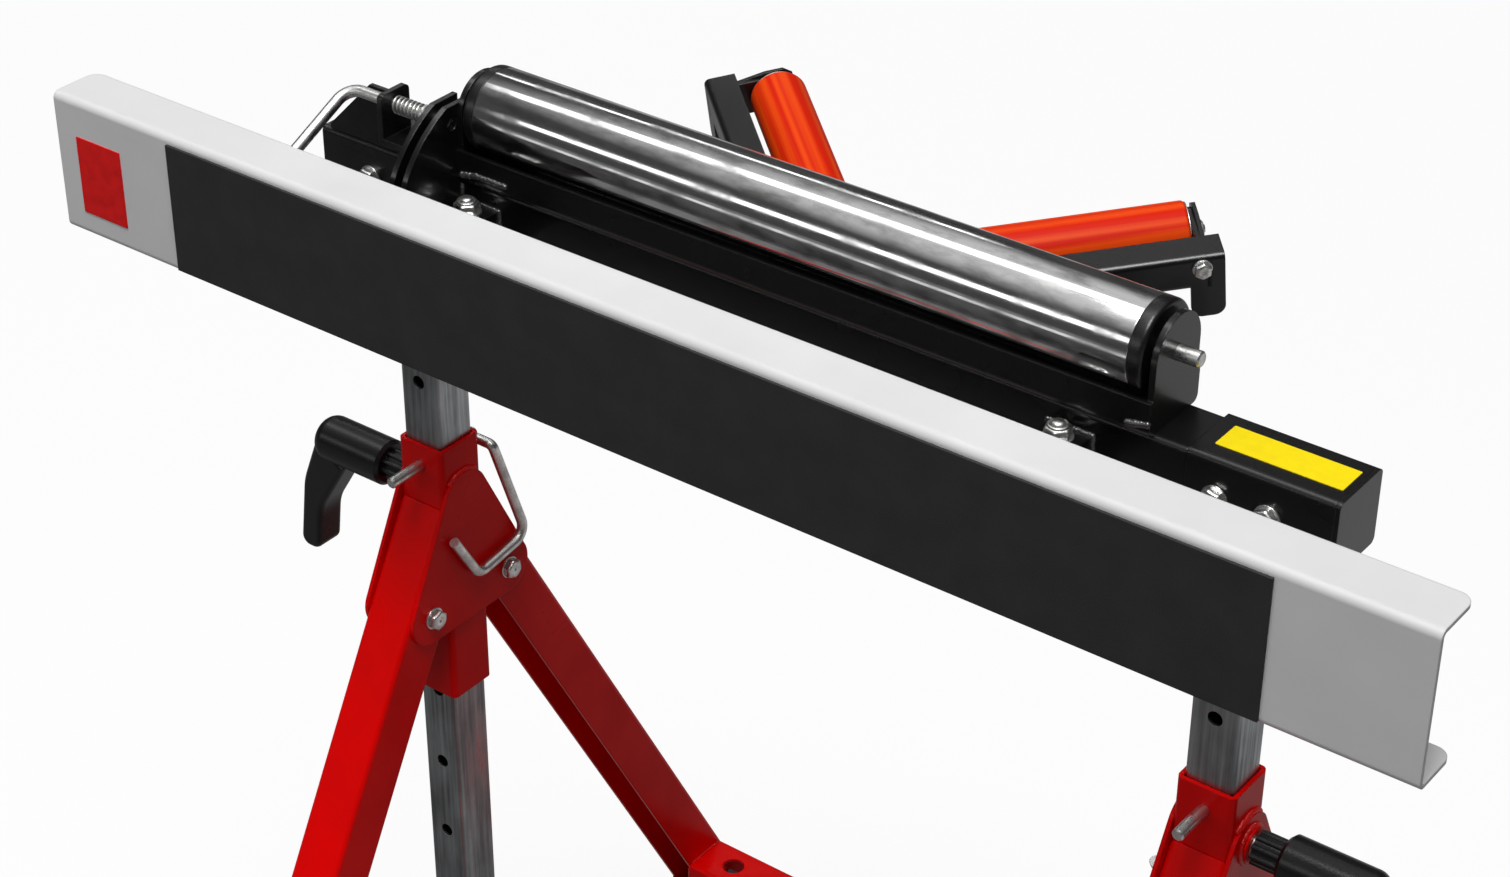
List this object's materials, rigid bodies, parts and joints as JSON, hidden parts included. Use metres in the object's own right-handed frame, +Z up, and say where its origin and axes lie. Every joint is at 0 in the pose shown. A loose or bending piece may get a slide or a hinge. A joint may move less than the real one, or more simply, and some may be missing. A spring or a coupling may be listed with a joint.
{
  "type": "work table",
  "caption": "Height-adjustable steel work stand with folding channel legs, a tilting head that carries a roller, a padded support beam and a pair of V rollers.",
  "frame": {"origin": "on the floor under the middle of the beam, midway between the front and rear feet", "axes": "+X along the beam to the right, +Y to the back, +Z up"},
  "size_m": [1, 0.682, 0.9249],
  "materials": {
    "red_paint": "glossy red paint",
    "black_paint": "glossy black paint",
    "grey_paint": "satin light grey powder coat",
    "zinc_steel": "satin zinc-grey steel",
    "zinc_plate": "bright zinc plating",
    "bearing_steel": "machined steel",
    "roller_chrome": "bright drawn steel, slightly mottled",
    "red_roller": "semi-gloss orange-red plastic",
    "black_plastic": "satin black plastic",
    "black_rubber": "fine matt black rubber"
  },
  "bodies": {
    "base": {"collar_left": "red_paint", "collar_right": "red_paint", "gusset_left_inner": "red_paint", "gusset_left_outer": "red_paint", "gusset_right_inner": "red_paint", "gusset_right_outer": "red_paint", "clamp_boss_left": "red_paint", "clamp_boss_right": "red_paint", "leg_pivot_bolts_left": "zinc_plate", "leg_pivot_bolts_right": "zinc_plate"},
    "front_legs": {"front_leg_left": "red_paint", "front_leg_right": "red_paint", "front_foot_left": "black_plastic", "front_foot_right": "black_plastic", "front_cross_member": "red_paint"},
    "rear_legs": {"rear_leg_left": "red_paint", "rear_leg_right": "red_paint", "rear_foot_left": "black_plastic", "rear_foot_right": "black_plastic", "rear_cross_member": "red_paint"},
    "lock_left": {"lock_pin_left": "zinc_plate", "lock_pin_bail_left": "zinc_plate"},
    "lock_right": {"lock_pin_right": "zinc_plate", "lock_pin_bail_right": "zinc_plate"},
    "clamp_left": {"clamp_screw_left": "zinc_plate", "clamp_lever_left": "black_plastic"},
    "clamp_right": {"clamp_screw_right": "zinc_plate", "clamp_lever_right": "black_plastic"},
    "column": {"post_left": "zinc_steel", "post_right": "zinc_steel", "post_plugs": "black_plastic", "housing_left": "black_paint", "housing_right": "black_paint", "housing_caps": "black_paint", "pivot_blocks": "bearing_steel", "housing_bolts": "zinc_plate", "index_plate_fixed": "black_paint", "index_pin_bracket": "black_paint", "index_spring": "zinc_plate"},
    "index": {"index_pin": "zinc_plate"},
    "head": {"head_tube": "black_paint", "index_plate_turning": "black_paint", "pivot_shafts": "bearing_steel", "beam_socket_left": "black_paint", "beam_socket_right": "black_paint", "beam_tongues": "grey_paint", "beam": "grey_paint", "beam_pad": "black_rubber", "beam_bolts": "zinc_plate", "roller_bracket": "black_paint", "roller_axle": "zinc_plate", "v_mount": "black_paint", "v_arm_left": "black_paint", "v_arm_right": "black_paint", "v_axles": "zinc_plate"},
    "roller": {"main_roller": "roller_chrome", "roller_rings": "black_plastic"},
    "v_left": {"v_roller_left": "red_roller"},
    "v_right": {"v_roller_right": "red_roller"}
  },
  "joints": [
    {"name": "front_legs_fold", "type": "hinge", "parent": "base", "child": "front_legs", "pos_m": [0.017, -0.04, 0.504], "axis": [1, 0, 0], "range_deg": [0, 28.7]},
    {"name": "rear_legs_fold", "type": "hinge", "parent": "base", "child": "rear_legs", "pos_m": [0.017, 0.04, 0.504], "axis": [-1, 0, 0], "range_deg": [0, 28.7]},
    {"name": "height", "type": "slide", "parent": "base", "child": "column", "axis": [0, 0, 1], "range_m": [-0.065, 0.325]},
    {"name": "head_tilt", "type": "hinge", "parent": "column", "child": "head", "pos_m": [0.017, 0, 0.83], "axis": [1, 0, 0], "range_deg": [-90, 0]},
    {"name": "index_pin_slide", "type": "slide", "parent": "column", "child": "index", "axis": [1, 0, 0], "range_m": [-0.004, 0.0066], "deforming": ["index_spring"]},
    {"name": "main_roller_spin", "type": "hinge", "parent": "head", "child": "roller", "pos_m": [0.017, 0, 0.8964], "axis": [1, 0, 0], "continuous": true},
    {"name": "v_roller_left_spin", "type": "hinge", "parent": "head", "child": "v_left", "pos_m": [0.0245, 0.039, 0.842], "axis": [-0.7513, 0.6485, 0.1225], "continuous": true},
    {"name": "lock_pin_left_slide", "type": "slide", "parent": "base", "child": "lock_left", "axis": [0, 1, 0], "range_m": [0, 0.066]},
    {"name": "clamp_left_turn", "type": "hinge", "parent": "base", "child": "clamp_left", "pos_m": [-0.293, 0, 0.585], "axis": [1, 0, 0], "range_deg": [0, 360]},
    {"name": "v_roller_right_spin", "type": "hinge", "parent": "head", "child": "v_right", "pos_m": [0.0245, 0.039, 0.842], "axis": [0.7513, 0.6485, 0.1225], "continuous": true},
    {"name": "lock_pin_right_slide", "type": "slide", "parent": "base", "child": "lock_right", "axis": [0, 1, 0], "range_m": [0, 0.066]},
    {"name": "clamp_right_turn", "type": "hinge", "parent": "base", "child": "clamp_right", "pos_m": [0.327, 0, 0.585], "axis": [-1, 0, 0], "range_deg": [0, 360]}
  ]
}
